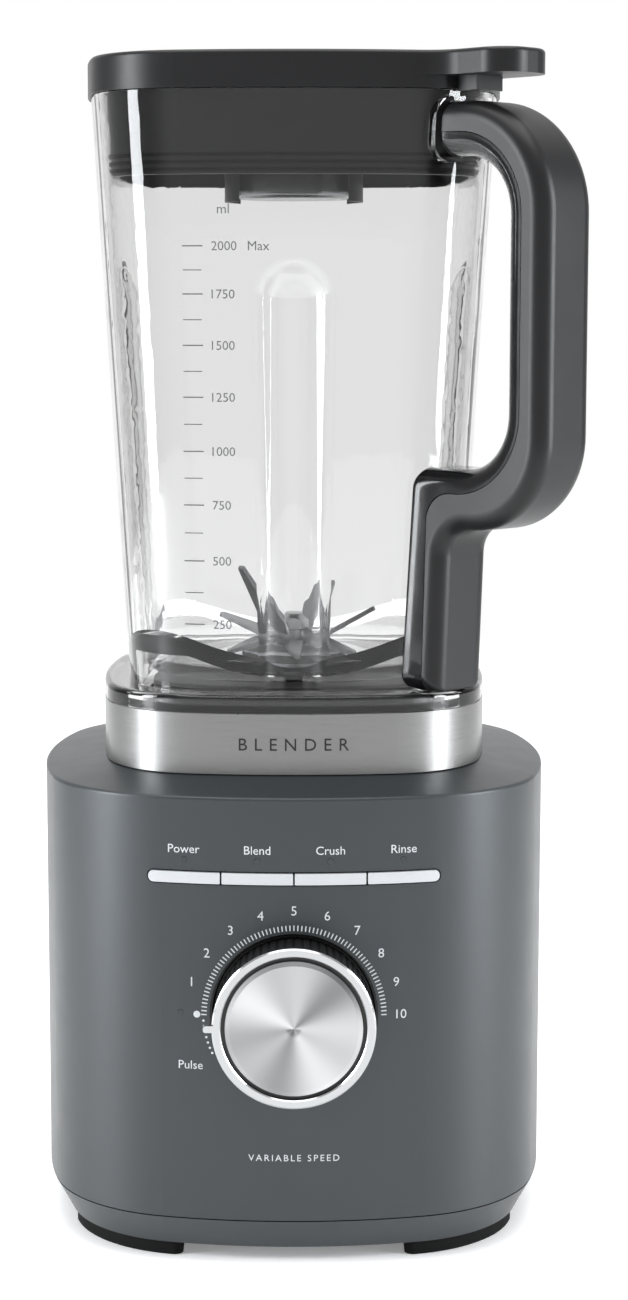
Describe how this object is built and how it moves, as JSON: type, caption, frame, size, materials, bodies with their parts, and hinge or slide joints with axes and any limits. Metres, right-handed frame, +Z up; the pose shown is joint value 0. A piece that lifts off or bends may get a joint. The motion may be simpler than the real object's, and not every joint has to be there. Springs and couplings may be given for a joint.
{
  "type": "countertop blender",
  "caption": "Countertop blender: motor base with speed dial and push keys, square clear jar with corner handle, bent blades, lid and filler cap.",
  "frame": {"origin": "on the resting surface, on the drive axis, under the middle of the base", "axes": "+Z up along the drive axis, the dial and keys face -Y, the jar handle points to the front right (+X -Y)"},
  "size_m": [0.1898, 0.2018, 0.4163],
  "materials": {
    "housing_finish": "satin blue-grey",
    "dark_plastic": "satin charcoal",
    "lid_finish": "satin dark grey",
    "liner_finish": "glossy black",
    "clear_jar": "clear, faint grey",
    "grey_cup": "translucent grey",
    "black_rubber": "matte",
    "brushed_band": "brushed",
    "bright_metal": "polished",
    "spun_disc": "spun",
    "key_silver": "silver paint",
    "blade_steel": "ground",
    "shaft_steel": "turned",
    "core_steel": "laminated",
    "copper_wire": "enamelled copper",
    "carbon": "graphite",
    "fan_plastic": "moulded",
    "bracket_metal": "die cast",
    "board_green": "laminate",
    "light_pipe": "translucent",
    "white_nylon": "nylon",
    "screw_steel": "zinc plated"
  },
  "bodies": {
    "base": {"motor_housing": "housing_finish", "base_plate": "housing_finish", "feet": "black_rubber", "collar_band": "brushed_band", "jar_seat": "dark_plastic", "seat_damper": "black_rubber", "seat_screws": "screw_steel", "cord_gland": "black_rubber", "base_screws": "screw_steel", "upper_bracket": "bracket_metal", "lower_bracket": "bracket_metal", "stator_core": "core_steel", "field_windings": "copper_wire", "motor_bearings": "shaft_steel", "brush_holders": "white_nylon", "carbon_brushes": "carbon", "motor_dampers": "black_rubber", "motor_screws": "screw_steel", "stator_bolts": "screw_steel", "control_board": "board_green", "board_screws": "screw_steel", "dial_bezel": "dark_plastic", "dial_encoder": "dark_plastic", "button_frame": "dark_plastic", "button_switches": "dark_plastic", "indicator_lights": "light_pipe", "air_duct": "dark_plastic"},
    "rotor": {"armature_shaft": "shaft_steel", "armature_core": "core_steel", "armature_windings": "copper_wire", "commutator": "copper_wire", "cooling_fan": "fan_plastic", "drive_coupling": "black_rubber"},
    "jar": {"jar": "clear_jar", "jar_gasket": "black_rubber", "handle_liner": "liner_finish", "handle_shell": "lid_finish", "handle_screws": "screw_steel", "blade_housing": "shaft_steel", "blade_bearings": "shaft_steel", "blade_seal": "black_rubber", "housing_nut": "dark_plastic"},
    "blade": {"blade_shaft": "shaft_steel", "blade_lower": "blade_steel", "blade_middle": "blade_steel", "blade_upper": "blade_steel", "blade_nut": "shaft_steel", "jar_coupling": "bright_metal"},
    "lid": {"lid": "lid_finish", "lid_seal": "black_rubber"},
    "cap": {"filler_cap": "lid_finish", "measuring_cup": "grey_cup"},
    "dial": {"knob_grip": "dark_plastic", "knob_ring": "bright_metal", "knob_disc": "spun_disc", "knob_shaft": "shaft_steel"},
    "key_1": {"button_1": "key_silver"},
    "key_2": {"button_2": "key_silver"},
    "key_3": {"button_3": "key_silver"},
    "key_4": {"button_4": "key_silver"}
  },
  "joints": [
    {"name": "jar_lift", "type": "slide", "parent": "base", "child": "jar", "axis": [0, 0, 1], "range_m": [0, 0.12]},
    {"name": "lid_lift", "type": "slide", "parent": "jar", "child": "lid", "axis": [0, 0, 1], "range_m": [0, 0.08]},
    {"name": "cap_lift", "type": "slide", "parent": "lid", "child": "cap", "axis": [0, 0, 1], "range_m": [0, 0.06]},
    {"name": "speed_dial", "type": "hinge", "parent": "base", "child": "dial", "pos_m": [0, -0.0915, 0.0895], "axis": [0, 1, 0], "range_deg": [-30, 180]},
    {"name": "motor_spin", "type": "hinge", "parent": "base", "child": "rotor", "pos_m": [0, 0, 0.1], "axis": [0, 0, 1], "continuous": true},
    {"name": "blade_spin", "type": "hinge", "parent": "jar", "child": "blade", "pos_m": [0, 0, 0.2], "axis": [0, 0, 1], "continuous": true},
    {"name": "key_1_press", "type": "slide", "parent": "base", "child": "key_1", "axis": [0, 1, 0], "range_m": [0, 0.0015], "stiffness_N_per_m": 600, "springref_m": -0.0008},
    {"name": "key_2_press", "type": "slide", "parent": "base", "child": "key_2", "axis": [0, 1, 0], "range_m": [0, 0.0015], "stiffness_N_per_m": 600, "springref_m": -0.0008},
    {"name": "key_3_press", "type": "slide", "parent": "base", "child": "key_3", "axis": [0, 1, 0], "range_m": [0, 0.0015], "stiffness_N_per_m": 600, "springref_m": -0.0008},
    {"name": "key_4_press", "type": "slide", "parent": "base", "child": "key_4", "axis": [0, 1, 0], "range_m": [0, 0.0015], "stiffness_N_per_m": 600, "springref_m": -0.0008}
  ],
  "couplings": [
    {"joint": "blade_spin", "follows": "motor_spin", "ratio": 1}
  ]
}
